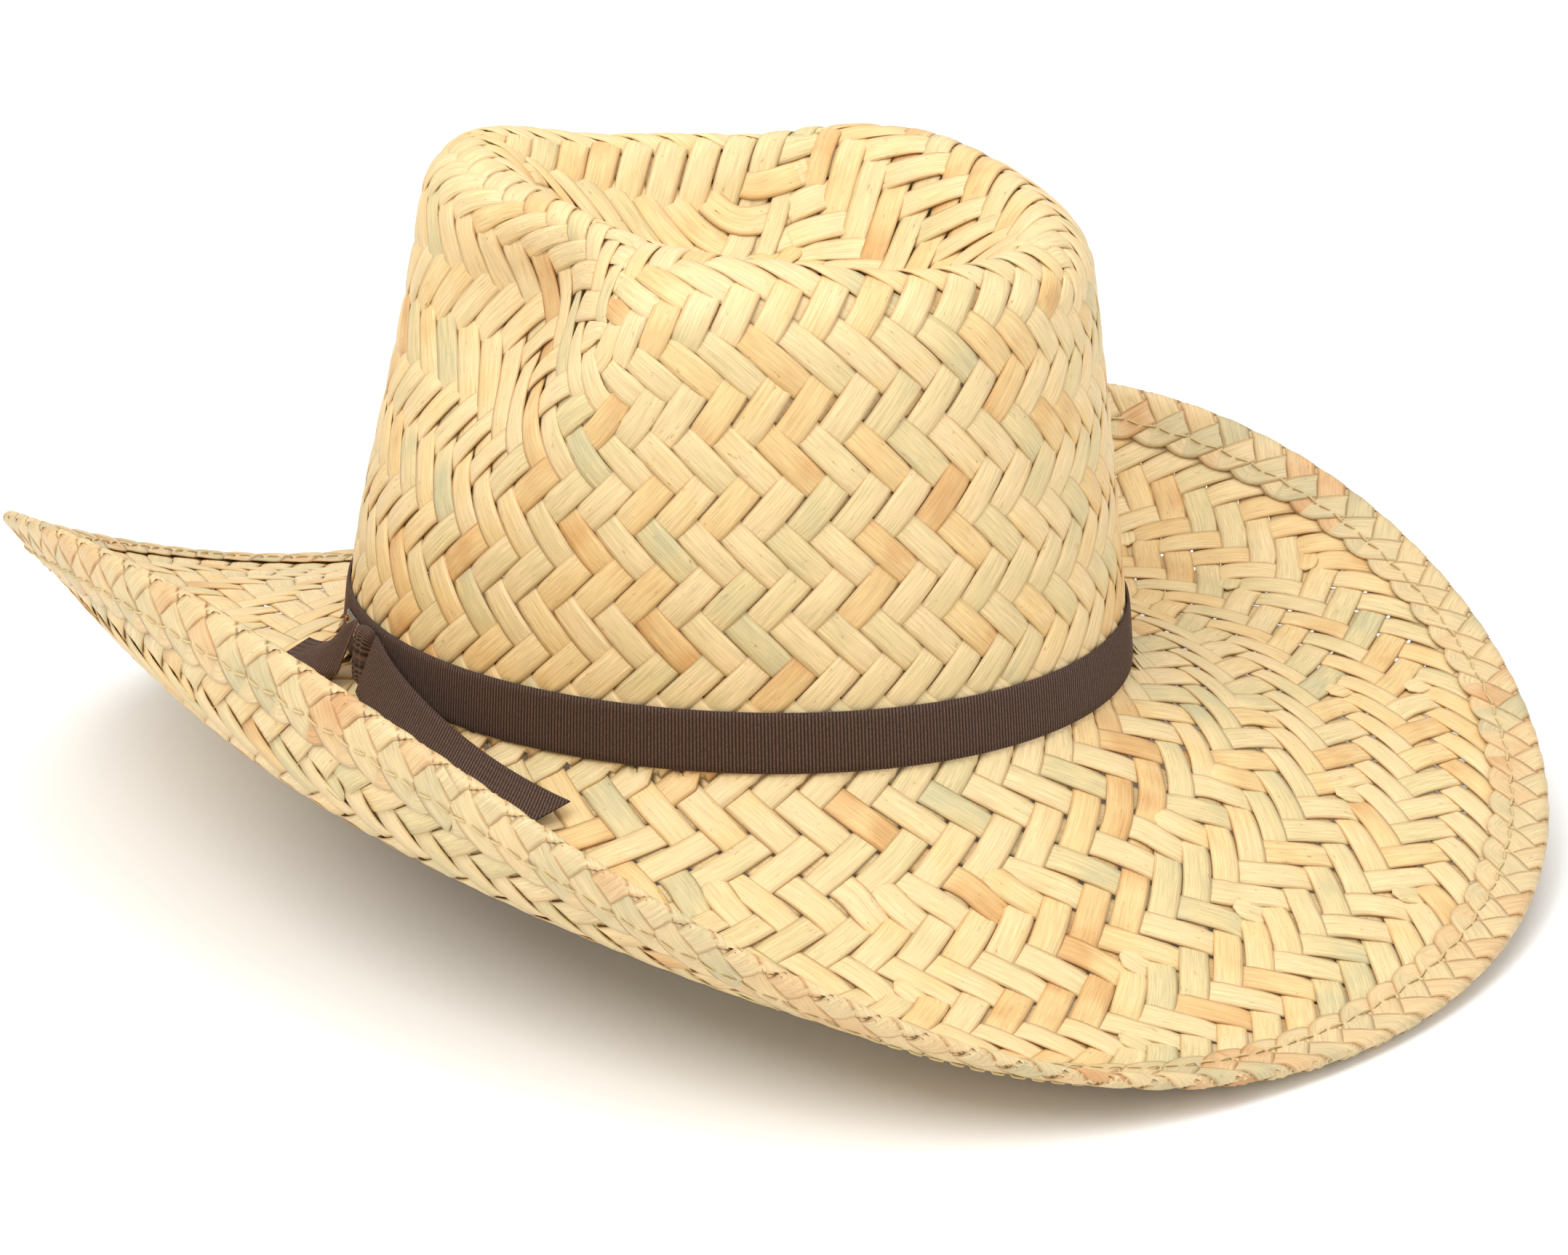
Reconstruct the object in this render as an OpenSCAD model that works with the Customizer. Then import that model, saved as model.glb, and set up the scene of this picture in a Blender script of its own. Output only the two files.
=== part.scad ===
// Woven straw cowboy hat with a grosgrain ribbon band.
// Frame: the front of the hat faces -Y, +Z is up, and the origin is the middle of the head
// opening, at the height where the crown meets the brim. Lengths are in millimetres.

/* [Head and crown] */
// Half width of the crown where it meets the brim
half_w = 88; // [75:0.5:100]
// Half length of the crown where it meets the brim
half_l = 101; // [88:0.5:115]
// Height of the crown rim above the brim
crown_h = 120; // [95:1:150]
// Radius of the turn from the side wall to the top
rim_r = 17; // [10:1:24]
// How far the side wall leans in by the rim
wall_taper = 7; // [2:0.5:14]
// How far the front wall leans back
front_lean = 13; // [0:1:25]
// How far the back wall leans forward
back_lean = 6; // [0:1:20]
// Share of its width that the front of the top loses to the pinch
nose_pinch = 0.46; // [0.2:0.02:0.5]
// Depth of the finger dent on each side of the front
dent_depth = 27; // [0:1:30]
// Depth of the teardrop hollow in the top
hollow_depth = 26; // [10:1:32]
// Rise of the front tip of the rim
nose_rise = 7; // [0:1:12]
// Drop of the back of the rim
back_drop = 6; // [0:1:12]
// Thickness of the plaited straw
straw_t = 1.6; // [1.2:0.1:2.4]

/* [Brim] */
// Width of the brim at the front
brim_front = 96; // [75:1:120]
// Width of the brim at the sides
brim_side = 101; // [80:1:120]
// Width of the brim at the back
brim_back = 113; // [85:1:130]
// Slope beside the crown at eight points: right, back right, back, and so on round, degrees
slope_crown = [-45, -43, -25, -27, -40, -40, -20, -20]; // [-60:1:0]
// Slope that the middle of the brim tends to, at the same eight points, degrees
slope_mid = [3, -45, -42, 0, 3, -23, 3, 28]; // [-60:1:40]
// Slope of the rolled edge at the same eight points, degrees
slope_edge = [107, 32, -2, 19, 77, 9, 19, 96]; // [-20:1:110]

/* [Edge binding] */
// Width of the folded braid on each face of the brim
braid_w = 14.5; // [8:0.5:20]
// Thickness of the braid
braid_t = 1.2; // [0.8:0.1:2]
// Diameter of the wire in the fold
wire_d = 1.5; // [1:0.1:1.6]
// Distance of the seam from the edge
seam_inset = 9.5; // [5:0.5:13]
// Diameter of the sewing thread
thread_d = 0.6; // [0.4:0.1:1]

/* [Ribbon] */
// Width of the grosgrain ribbon
ribbon_w = 15; // [10:0.5:25]
// Thickness of the ribbon
ribbon_t = 0.8; // [0.5:0.1:1.5]
// Place of the knot round the crown, degrees from the right side
knot_at = 317.5; // [300:5:340]
// Angle round the crown that the long tail covers, degrees
long_tail_turn = 43; // [20:1:50]
// Angle round the crown that the short tail covers, degrees
short_tail_turn = 17; // [10:1:25]
// Length of the metal badge along the ribbon
badge_l = 13; // [8:0.5:16]
// Height of the metal badge
badge_h = 5; // [3:0.5:8]

/* [Sweatband] */
// Height of the sweatband
band_h = 32; // [20:1:40]
// Thickness of the sweatband
band_t = 1.2; // [0.8:0.1:2]

/* [Hidden] */
// points round the hat, rows up the crown, rows across the brim
around = 72;
wall_rows = 12;
turn_rows = 5;
top_rows = 12;
brim_rows = 12;
// gap left between soft layers
seat = 0.05;
// gap under a flat piece on the leaning wall
wall_seat = 0.45;
// clearance between a tail and the knot it hinges on
hinge_gap = 0.3;
wall_l = crown_h - rim_r;
step = 360 / around;
straw_c = "#e3c78f";
ribbon_c = "#4a3930";

// ---- shape functions ----

function clamp01(t) = min(max(t, 0), 1);
function ease(t) = let (c = clamp01(t)) c * c * (3 - 2 * c);
function mix(a, b, t) = a + (b - a) * t;
function sum(v, i = 0, s = 0) = i == len(v) ? s : sum(v, i + 1, s + v[i]);

// smooth curve through eight values placed every 45 degrees round the hat
function round8(v, a) = sum([for (k = [0:7]) let (d = a - 45 * k)
    v[k] * (1 + 2 * cos(d) + 2 * cos(2 * d) + 2 * cos(3 * d) + cos(4 * d)) / 8]);

// pinch, hollow and lean of the crown, as one map of space
function shape_crown(p) = let (
    h = p[2] / crown_h,
    lean = p[1] < 0 ? front_lean * pow(max(h, 0), 1.2) : back_lean * h,
    y = p[1] * (1 - lean / half_l),
    narrow = ease(-p[1] / half_l / 0.85) * ease((h - 0.15) / 0.85),
    x1 = p[0] * (1 - nose_pinch * narrow),
    from_dent = y / half_l + 0.14 + 0.83 * (1 - h),
    dent = exp(-pow(from_dent / (from_dent > 0 ? 0.18 : 0.31), 2) - pow((h - 0.83) / 0.275, 2)),
    x = x1 - dent_depth * tanh(x1 / 30) * dent,
    rim_x = half_w * (0.705 - 0.34 * ease((0.25 - y / half_l) / 0.84)),
    far = norm([x / rim_x, (y / half_l - 0.08) / 0.713]),
    sink = hollow_depth * ease((1 - far) / 0.55) * ease((h - 0.8) / 0.15),
    rise = nose_rise * ease((-y / half_l - 0.45) / 0.35) - back_drop * ease((y / half_l - 0.2) / 0.6)
  ) [x, y, p[2] - sink + rise * pow(max(h, 0), 3)];
function tanh(x) = 1 - 2 / (exp(2 * x) + 1);

// crown point at angle a: w up the wall, turn degrees round the rim, k in over the top,
// and skin millimetres outside the straw's outer face
function crown_pt(a, w, turn = 0, k = 0, skin = 0) = let (
    inset = wall_taper * pow(w / wall_l, 1.3) + rim_r * (1 - cos(turn)) - skin,
    z = w + (rim_r + skin) * sin(turn)
  ) shape_crown([(half_w - inset) * (1 - k) * cos(a), (half_l - inset) * (1 - k) * sin(a), z]);

// unit outward direction of the crown's oval at angle a
function out_dir(a) = let (n = [cos(a) / half_w, sin(a) / half_l, 0]) n / norm(n);

// brim width at angle a
function brim_w(a) = brim_side + (brim_back - brim_front) / 2 * sin(a)
    + ((brim_back + brim_front) / 2 - brim_side) * (1 - cos(2 * a)) / 2;
// slope of the brim a share f of the way out
function brim_slope(a, f) = round8(slope_crown, a) * pow(1 - f, 2)
    + 2 * round8(slope_mid, a) * f * (1 - f) + round8(slope_edge, a) * f * f;
// section of the brim at angle a: n + 1 pairs of distance out and height, equal steps of length
function brim_section(a, n) = let (d = brim_w(a) / n) [for (
    i = 0, s = 0, q = [0, 0]; i <= n;
    s = brim_slope(a, (i + 0.5) / n), q = q + d * [cos(s), sin(s)], i = i + 1) q];
// brim point s millimetres out from the crown at angle a, lift above the upper face
function brim_pt(a, s, lift = 0) = let (
    n = 28,
    d = s / n,
    w = brim_w(a),
    q = s <= 0 ? [s, 0] : [
        sum([for (i = [0:n - 1]) d * cos(brim_slope(a, (i + 0.5) * d / w))]),
        sum([for (i = [0:n - 1]) d * sin(brim_slope(a, (i + 0.5) * d / w))])],
    t = brim_slope(a, max(s, 0) / w),
    o = out_dir(a),
    r = q[0] - lift * sin(t)
  ) [half_w * cos(a), half_l * sin(a), 0] + o * r + [0, 0, q[1] + lift * cos(t)];

// ---- closed meshes from rows of points ----

// triangles between two neighbouring rows of m points
function row_faces(i, j, m, shut = true) = [for (k = [0:m - (shut ? 1 : 2)])
    let (n = (k + 1) % m) each [[i + k, j + k, j + n], [i + k, j + n, i + n]]];

// ring whose closed section repeats round the hat
module ring(sections, inside_out = false) {
    n = len(sections);
    m = len(sections[0]);
    polyhedron(points = [for (s = sections) each s],
        faces = [for (i = [0:n - 1]) each [for (f = row_faces(i * m, ((i + 1) % n) * m, m))
            inside_out ? [f[2], f[1], f[0]] : f]]);
}

// strip with a closed section and two flat ends
module strip(sections) {
    n = len(sections);
    m = len(sections[0]);
    polyhedron(points = [for (s = sections) each s],
        faces = concat([for (i = [0:n - 2]) each row_faces(i * m, (i + 1) * m, m)],
            [[for (k = [0:m - 1]) k]], [[for (k = [m - 1:-1:0]) (n - 1) * m + k]]));
}

// upright band that follows the crown from z0 to z1, between two distances from the straw
function wall_section(a, z0, z1, near, far) = let (u = min(near, far), v = max(near, far)) [
    crown_pt(a, z0, skin = u), crown_pt(a, z1, skin = u),
    crown_pt(a, z1, skin = v), crown_pt(a, z0, skin = v)];
module wall_ring(z0, z1, near, far) {
    ring([for (i = [0:around - 1]) wall_section(i * step, z0, z1, near, far)]);
}
module wall_patch(a0, a1, z0, z1, near, far, cuts = 2) {
    strip([for (i = [0:cuts]) wall_section(mix(a0, a1, i / cuts), z0, z1, near, far)]);
}

// thread that runs round the hat through the given points
module thread_ring(points, d) {
    ring([for (i = [0:around - 1]) let (p = points[i], o = out_dir(i * step)) [
        p + [0, 0, d / 2], p + o * d / 2, p - [0, 0, d / 2], p - o * d / 2]]);
}

// ---- sub-parts ----

// rows of one face of the crown, from the brim to the middle of the top
function crown_rows(skin) = concat(
    [for (i = [0:wall_rows]) [for (j = [0:around - 1])
        crown_pt(j * step, wall_l * i / wall_rows, skin = skin)]],
    [for (i = [1:turn_rows]) [for (j = [0:around - 1])
        crown_pt(j * step, wall_l, 90 * i / turn_rows, skin = skin)]],
    [for (i = [1:top_rows - 1]) [for (j = [0:around - 1])
        crown_pt(j * step, wall_l, 90, i / top_rows, skin)]]);

// closed shell of the crown between two of its rows; the last row closes over the middle of the top
module crown_shell(first, last) {
    rows = crown_rows(0);
    outer = [for (i = [first:last]) rows[i]];
    inner = [for (i = [first:last]) crown_rows(-straw_t)[i]];
    n = last - first + 1;
    m = around;
    over = last == len(rows) - 1;
    tip = [crown_pt(0, wall_l, 90, 1, 0), crown_pt(0, wall_l, 90, 1, -straw_t)];
    color(straw_c) polyhedron(
        points = concat([for (r = outer) each r], [for (r = inner) each r], over ? tip : []),
        faces = concat(
            [for (i = [0:n - 2]) each row_faces(i * m, (i + 1) * m, m)],
            [for (i = [0:n - 2]) each row_faces((n + i + 1) * m, (n + i) * m, m)],
            row_faces(n * m, 0, m),
            over ? concat(
                [for (k = [0:m - 1]) [(n - 1) * m + (k + 1) % m, (n - 1) * m + k, 2 * n * m]],
                [for (k = [0:m - 1]) [(2 * n - 1) * m + k, (2 * n - 1) * m + (k + 1) % m,
                    2 * n * m + 1]])
            : [for (f = row_faces((2 * n - 1) * m, (n - 1) * m, m)) [f[2], f[1], f[0]]]));
}
// the crown is one plait; it stands here as two shells that meet face to face halfway up the wall
split_row = floor(wall_rows / 2);
module straw_crown_lower() { crown_shell(0, split_row); }
module straw_crown_upper() { crown_shell(split_row, wall_rows + turn_rows + top_rows - 1); }

// the straw of the brim stops short of the edge, where the wire lies in the braid
wire_room = wire_d + 0.6;
// places across the brim that the straw and the folded braid share
function fold_stations(a) = let (w = brim_w(a)) [w - braid_w, w - seam_inset, w - wire_room];
module straw_brim() {
    color(straw_c) ring([for (i = [0:around - 1]) let (
        a = i * step,
        fold = fold_stations(a),
        s = concat([for (j = [0:brim_rows - 1]) fold[0] * j / brim_rows], fold),
        n = len(s) - 1,
        rim = [(half_w - straw_t) * cos(a), (half_l - straw_t) * sin(a), 0]
      ) concat([rim], [for (j = [0:n]) brim_pt(a, s[j])],
        [for (j = [n:-1:0]) brim_pt(a, s[j], -straw_t)], [rim - [0, 0, straw_t]])]);
}

// the section runs along the inside of the fold in the same order as the straw's section
module edge_braid() {
    // the fold opens up where the wire is thicker than the straw
    open = max(seat, wire_d / 2 + 2 * seat - straw_t / 2);
    near = [seat, seat, open, open];
    color("#dcbf88") ring([for (i = [0:around - 1]) let (
        a = i * step, w = brim_w(a), s = concat(fold_stations(a), [w - 0.3])) concat(
        [for (j = [0:3]) brim_pt(a, s[j], near[j])],
        [for (j = [3:-1:0]) brim_pt(a, s[j], -straw_t - near[j])],
        [for (j = [0:3]) brim_pt(a, s[j], -straw_t - near[j] - braid_t)],
        [brim_pt(a, w + braid_t * 0.6, -straw_t / 2)],
        [for (j = [3:-1:0]) brim_pt(a, s[j], near[j] + braid_t)])], inside_out = true);
}

module edge_wire() {
    sides = 8;
    color("#8d8f92") ring([for (i = [0:around - 1]) let (
        a = i * step, s = brim_w(a) - wire_d / 2 - 0.45) [for (k = [0:sides - 1])
        brim_pt(a, s + wire_d / 2 * cos(360 * k / sides),
            -straw_t / 2 - wire_d / 2 * sin(360 * k / sides))]]);
}

// one run of thread on each face of the braid
module edge_seam(side) {
    lift = side > 0 ? seat + braid_t + thread_d / 2
                    : -straw_t - seat - braid_t - thread_d / 2;
    color("#d8c08c") ring([for (i = [0:around - 1]) let (
        a = i * step, s = brim_w(a) - seam_inset, r = thread_d / 2) [
        brim_pt(a, s, lift - r), brim_pt(a, s - r, lift),
        brim_pt(a, s, lift + r), brim_pt(a, s + r, lift)]]);
}
module edge_seam_upper() { edge_seam(1); }
module edge_seam_lower() { edge_seam(-1); }

ribbon_z = 1;
ribbon_out = 3 * seat + ribbon_t;
module hatband_ribbon() {
    color(ribbon_c) wall_ring(ribbon_z, ribbon_z + ribbon_w, ribbon_out - ribbon_t, ribbon_out);
}

// frame at angle a on the outer face of the ribbon: X along the ribbon, Y outwards
module on_ribbon(a, z, out) {
    p = (crown_pt(a - step / 2, z, skin = out) + crown_pt(a + step / 2, z, skin = out)) / 2;
    q = crown_pt(a + step / 2, z, skin = out) - crown_pt(a - step / 2, z, skin = out);
    translate(p) rotate([0, 0, atan2(q[1], q[0]) + 180]) children();
}

knot_w = 8;
knot_d = 5;
module ribbon_knot() {
    h = ribbon_w + 1;
    color(ribbon_c) on_ribbon(knot_at, ribbon_z + ribbon_w / 2, ribbon_out + wall_seat) hull() {
        translate([-knot_w / 2 + 1, 0, -h / 2 + 1]) cube([knot_w - 2, 0.5, h - 2]);
        translate([-knot_w / 2, 1, -h / 2 + 2]) cube([knot_w, knot_d * 0.4, h - 4]);
        translate([-knot_w / 2 + 1.5, knot_d - 0.5, -h / 2 + 4]) cube([knot_w - 3, 0.5, h - 8]);
    }
}

// ribbon tail from the knot: it starts on edge beside the crown and lies over onto the brim
function tail_station(a, s, lift, tilt) = let (
    c = brim_pt(a, s) + [0, 0, lift],
    o = out_dir(a),
    w = (o * cos(tilt) + [0, 0, sin(tilt)]) * ribbon_w / 2,
    t = (-o * sin(tilt) + [0, 0, cos(tilt)]) * ribbon_t / 2
  ) [c - w - t, c - w + t, c + w + t, c + w - t];
module tail(a0, a1, s1, lift1, cuts) {
    start_out = 6;
    start_lift = 11;
    rows = [for (i = [0:cuts]) let (f = i / cuts) tail_station(mix(a0, a1, f),
        mix(start_out, s1, f), mix(start_lift, lift1, 1 - pow(1 - f, 1.6)),
        mix(-66, brim_slope(a1, s1 / brim_w(a1)), ease(f * 1.3)))];
    color(ribbon_c) strip(a1 > a0 ? rows : [for (i = [cuts:-1:0]) rows[i]]);
}
// angle that half the knot and the hinge gap take up round the crown
knot_half_turn = (knot_w / 2 + hinge_gap) / (half_w + half_l) * 2 * 57.3 + 0.8;
module ribbon_tail_long() {
    tail(knot_at + knot_half_turn, knot_at + long_tail_turn, 23, 1.8, 24);
}
module ribbon_tail_short() {
    tail(knot_at - knot_half_turn, knot_at - short_tail_turn, 17, 1.8, 20);
}

badge_at = 310;
badge_t = 0.8;
badge_turn = badge_l / (half_w + half_l) * 2 * 57.3;
badge_out = ribbon_out + seat;
badge_z = ribbon_z + ribbon_w * 0.62;
module badge_plate() {
    color("#4b4845") wall_patch(badge_at - badge_turn / 2 - 3, badge_at + badge_turn / 2 - 3,
        badge_z - badge_h / 2, badge_z + badge_h / 2, badge_out, badge_out + badge_t);
}
module badge_rivets() {
    for (side = [-1, 1]) {
        a = badge_at - 3 + side * badge_turn * 0.38;
        color("#b0734a") translate(crown_pt(a, badge_z, skin = badge_out + badge_t + seat))
            rotate([0, 0, atan2(out_dir(a)[1], out_dir(a)[0])]) rotate([0, 90, 0])
            cylinder(h = 0.5, d = 1.5, $fn = 24);
    }
}

band_near = -straw_t - 3 * seat;
band_far = band_near - band_t;
module sweatband() {
    color("#3b2e27") wall_ring(0.5, band_h, band_near, band_far);
}
module sweatband_seam() {
    z = 4;
    color("#c9b58a") thread_ring([for (i = [0:around - 1])
        crown_pt(i * step, z, skin = band_far - thread_d / 2 - wall_seat)], thread_d);
}
// tape over the place at the back where the ends of the sweatband meet
module sweatband_join_tape() {
    color("#2e2420") wall_patch(85, 90, 6, band_h - 1, band_far - wall_seat - 0.6, band_far - wall_seat, 1);
}
module size_label() {
    color("#ece6da") wall_patch(95, 110, 10, 24, band_far - wall_seat - 0.4, band_far - wall_seat, 3);
}

straw_crown_lower();
straw_crown_upper();
straw_brim();
edge_braid();
edge_wire();
edge_seam_upper();
edge_seam_lower();
hatband_ribbon();
ribbon_knot();
ribbon_tail_long();
ribbon_tail_short();
badge_plate();
badge_rivets();
sweatband();
sweatband_seam();
sweatband_join_tape();
size_label();
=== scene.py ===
"""Looks of the straw cowboy hat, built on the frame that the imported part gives.

Row frame in metres: +Z up, -Y the front of the hat, the origin in the middle of the head opening.
Shapes are worked out in millimetres as numpy arrays and turned to metres in add_mesh.
A place on the straw is a plan vector: its direction is the angle round the hat, and its length is the
distance along the straw from the middle of the crown's top, down the wall and out over the brim.
"""

import math

import bmesh
import bpy
import numpy as np
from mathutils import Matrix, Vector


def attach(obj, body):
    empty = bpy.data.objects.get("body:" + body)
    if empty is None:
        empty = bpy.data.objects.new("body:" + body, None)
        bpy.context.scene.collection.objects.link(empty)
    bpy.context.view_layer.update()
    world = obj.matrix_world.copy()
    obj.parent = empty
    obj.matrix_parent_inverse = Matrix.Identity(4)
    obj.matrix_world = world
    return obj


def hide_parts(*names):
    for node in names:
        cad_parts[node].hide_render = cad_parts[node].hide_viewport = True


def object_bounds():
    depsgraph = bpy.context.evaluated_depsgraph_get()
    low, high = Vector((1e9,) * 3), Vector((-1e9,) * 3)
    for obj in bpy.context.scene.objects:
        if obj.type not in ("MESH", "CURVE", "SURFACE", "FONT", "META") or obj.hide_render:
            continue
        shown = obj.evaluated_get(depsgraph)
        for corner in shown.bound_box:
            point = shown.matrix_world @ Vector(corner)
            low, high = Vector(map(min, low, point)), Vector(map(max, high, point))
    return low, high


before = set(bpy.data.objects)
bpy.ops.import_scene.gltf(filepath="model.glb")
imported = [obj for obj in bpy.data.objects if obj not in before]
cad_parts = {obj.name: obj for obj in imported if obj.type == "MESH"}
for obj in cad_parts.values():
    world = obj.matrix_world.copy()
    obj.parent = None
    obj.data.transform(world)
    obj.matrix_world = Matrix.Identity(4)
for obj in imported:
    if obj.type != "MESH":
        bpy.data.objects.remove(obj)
cad_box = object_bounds()

# ---- sizes of the hat in millimetres, the same as in the part ----
HALF_W, HALF_L, CROWN_H, RIM_R = 88.0, 101.0, 120.0, 17.0
WALL_TAPER, FRONT_LEAN, BACK_LEAN, NOSE_PINCH = 7.0, 13.0, 6.0, 0.46
DENT_DEPTH, HOLLOW_DEPTH, NOSE_RISE, BACK_DROP = 27.0, 26.0, 7.0, 6.0
DENT_AT, DENT_SLANT, DENT_BACK, DENT_FRONT = 0.14, 0.83, 0.18, 0.31
DENT_HIGH, DENT_TALL = 0.83, 0.275
BRIM_FRONT, BRIM_SIDE, BRIM_BACK = 96.0, 101.0, 113.0
SLOPE_CROWN = (-45, -43, -25, -27, -40, -40, -20, -20)
SLOPE_MID = (3, -45, -42, 0, 3, -23, 3, 28)
SLOPE_EDGE = (107, 32, -2, 19, 77, 9, 19, 96)
STRAW_T, BRAID_T, SEAM_INSET = 1.6, 1.2, 9.5
WALL_L = CROWN_H - RIM_R
RIM_ARC = RIM_R * math.pi / 2
TOP_W = HALF_W - WALL_TAPER - RIM_R
TOP_L = HALF_L - WALL_TAPER - RIM_R
RIBBON_W, RIBBON_T, RIBBON_Z, RIBBON_OUT = 15.0, 0.8, 1.0, 0.95
KNOT_AT, KNOT_W, KNOT_D = 317.5, 8.0, 5.0
BADGE_AT, BADGE_L, BADGE_H, BADGE_Z = 307.0, 13.0, 5.0, 10.3
BAND_H, BAND_OUT, BAND_T = 32.0, -1.75, 1.2
STRIP_W = 7.5  # width of one straw strip
RIB = 0.85  # pitch of the ribbon's cross ribs
WARP = 0.34  # pitch of the ribbon's warp threads
BAND_BEND = 97.0  # bend radius of the ribbon under the plate
LINING_R = 94.0  # mean radius inside the crown's wall
TANGENT_STEP = 0.4  # how far apart two places lie that give a direction on a surface


# ---- the straw's surface ----


def ease(t):
    """c^2 (3 - 2c), with c the number t held between 0 and 1."""
    c = np.clip(t, 0, 1)
    return c * c * (3 - 2 * c)


def mix(a, b, t):
    """a + (b - a) t."""
    return a + (b - a) * t


def unit(v):
    """v over its own length."""
    return v / (np.linalg.norm(v, axis=-1, keepdims=True) + 1e-9)


def run_length(line):
    """Length run along each line of points, from 0 at its start: the running sum of the steps' lengths."""
    steps = np.linalg.norm(np.diff(line, axis=-2), axis=-1)
    return np.concatenate([np.zeros((*steps.shape[:-1], 1)), np.cumsum(steps, -1)], -1)


def even_shares(line_at, share):
    """Angles that share out a closed line round the hat in equal lengths, and the line's whole length."""
    a = np.linspace(0, 2 * math.pi, 1441)
    run = run_length(line_at(a))
    return np.interp(np.asarray(share) * run[-1], run, a), run[-1]


def round8(values, a):
    """Smooth curve through eight values placed every eighth of a turn: the sum over k of value k times
    (1 + 2 cos d + 2 cos 2d + 2 cos 3d + cos 4d) / 8, with d the angle past place k."""
    total = 0.0
    for k, value in enumerate(values):
        d = a - k * math.pi / 4
        bell = 1 + 2 * (np.cos(d) + np.cos(2 * d) + np.cos(3 * d)) + np.cos(4 * d)
        total = total + value * bell / 8
    return total


def shape_crown(x, y, z):
    """Lean, nose pinch, side dents and hollow top of the crown, as one map of space. Each dent is a bell
    curve in length and height that pulls x in by a tanh of x; the hollow is an eased bowl inside the rim."""
    h = z / CROWN_H
    up = np.maximum(h, 0)
    lean = np.where(y < 0, FRONT_LEAN * up**1.2, BACK_LEAN * h)
    length = y / HALF_L
    y = y * (1 - lean / HALF_L)
    narrow = ease(-length / 0.85) * ease((h - 0.15) / 0.85)
    x = x * (1 - NOSE_PINCH * narrow)
    from_dent = y / HALF_L + DENT_AT + DENT_SLANT * (1 - h)
    dent_reach = np.where(from_dent > 0, DENT_BACK, DENT_FRONT)
    dent = np.exp(-((from_dent / dent_reach) ** 2) - ((h - DENT_HIGH) / DENT_TALL) ** 2)
    x = x - DENT_DEPTH * np.tanh(x / 30) * dent
    rim_x = HALF_W * (0.705 - 0.34 * ease((0.25 - y / HALF_L) / 0.84))
    far = np.hypot(x / rim_x, (y / HALF_L - 0.08) / 0.713)
    sink = HOLLOW_DEPTH * ease((1 - far) / 0.55) * ease((h - 0.8) / 0.15)
    rise = NOSE_RISE * ease((-y / HALF_L - 0.45) / 0.35) - BACK_DROP * ease((y / HALF_L - 0.2) / 0.6)
    return np.stack([x, y, z - sink + rise * up**3], -1)


def crown_point(a, w, turn, k, skin):
    """Point w mm up the wall, turn radians round the rim and k of the way in over the top, skin mm outside
    the straw: an oval whose half axes shrink by the taper, the rim's 1 - cos(turn) and k."""
    inset = WALL_TAPER * (w / WALL_L) ** 1.3 + RIM_R * (1 - np.cos(turn)) - skin
    z = w + (RIM_R + skin) * np.sin(turn)
    return shape_crown((HALF_W - inset) * (1 - k) * np.cos(a), (HALF_L - inset) * (1 - k) * np.sin(a), z)


def out_dir(a):
    """Unit direction straight out from the crown's oval: (cos a / half width, sin a / half length)."""
    x, y = np.cos(a) / HALF_W, np.sin(a) / HALF_L
    n = np.hypot(x, y)
    return np.stack([x / n, y / n, 0 * n], -1)


def brim_width(a):
    """Side width plus a sine for back against front plus a share of 1 - cos 2a for the ends."""
    return (
        BRIM_SIDE
        + (BRIM_BACK - BRIM_FRONT) / 2 * np.sin(a)
        + ((BRIM_BACK + BRIM_FRONT) / 2 - BRIM_SIDE) * (1 - np.cos(2 * a)) / 2
    )


def brim_slope(a, f):
    """Slope of the brim in radians a share f of the way out: a quadratic in f between three slopes."""
    rows = [np.radians(round8(v, a)) for v in (SLOPE_CROWN, SLOPE_MID, SLOPE_EDGE)]
    return rows[0] * (1 - f) ** 2 + 2 * rows[1] * f * (1 - f) + rows[2] * f * f


TABLE_A, TABLE_S = 720, 300


def brim_tables():
    """Distance out, height and slope of the brim on a grid of angle and share of the width. Distance and
    height are running sums of the cosine and sine of the slope."""
    a = np.arange(TABLE_A + 1)[:, None] * 2 * math.pi / TABLE_A
    middle = brim_slope(a, (np.arange(TABLE_S)[None] + 0.5) / TABLE_S)
    step = brim_width(a) / TABLE_S
    start = np.zeros((TABLE_A + 1, 1))
    out = np.concatenate([start, np.cumsum(np.cos(middle) * step, 1)], 1)
    height = np.concatenate([start, np.cumsum(np.sin(middle) * step, 1)], 1)
    return np.stack([out, height, brim_slope(a, np.arange(TABLE_S + 1)[None] / TABLE_S)], -1)


BRIM = brim_tables()


def brim_point(a, s, lift):
    """Point s mm out from the crown, lift mm above the upper face: the tables read between their rows."""
    i = (a / (2 * math.pi) % 1.0) * TABLE_A
    j = np.clip(s / brim_width(a), 0, 1) * TABLE_S
    i0 = np.minimum(i.astype(int), TABLE_A - 1)
    j0 = np.minimum(j.astype(int), TABLE_S - 1)
    u, v = (i - i0)[..., None], (j - j0)[..., None]
    low = mix(BRIM[i0, j0], BRIM[i0, j0 + 1], v)
    high = mix(BRIM[i0 + 1, j0], BRIM[i0 + 1, j0 + 1], v)
    r, z, t = np.moveaxis(mix(low, high, u), -1, 0)
    over = np.maximum(s - brim_width(a), 0) + np.minimum(s, 0)
    r = r + over * np.cos(t) - lift * np.sin(t)
    z = z + over * np.sin(t) + lift * np.cos(t)
    base = np.stack([HALF_W * np.cos(a), HALF_L * np.sin(a), z], -1)
    return base + out_dir(a) * r[..., None]


def top_reach(a):
    """Distance from the middle of the top to its rounded rim."""
    return np.hypot(TOP_W * np.cos(a), TOP_L * np.sin(a))


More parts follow.
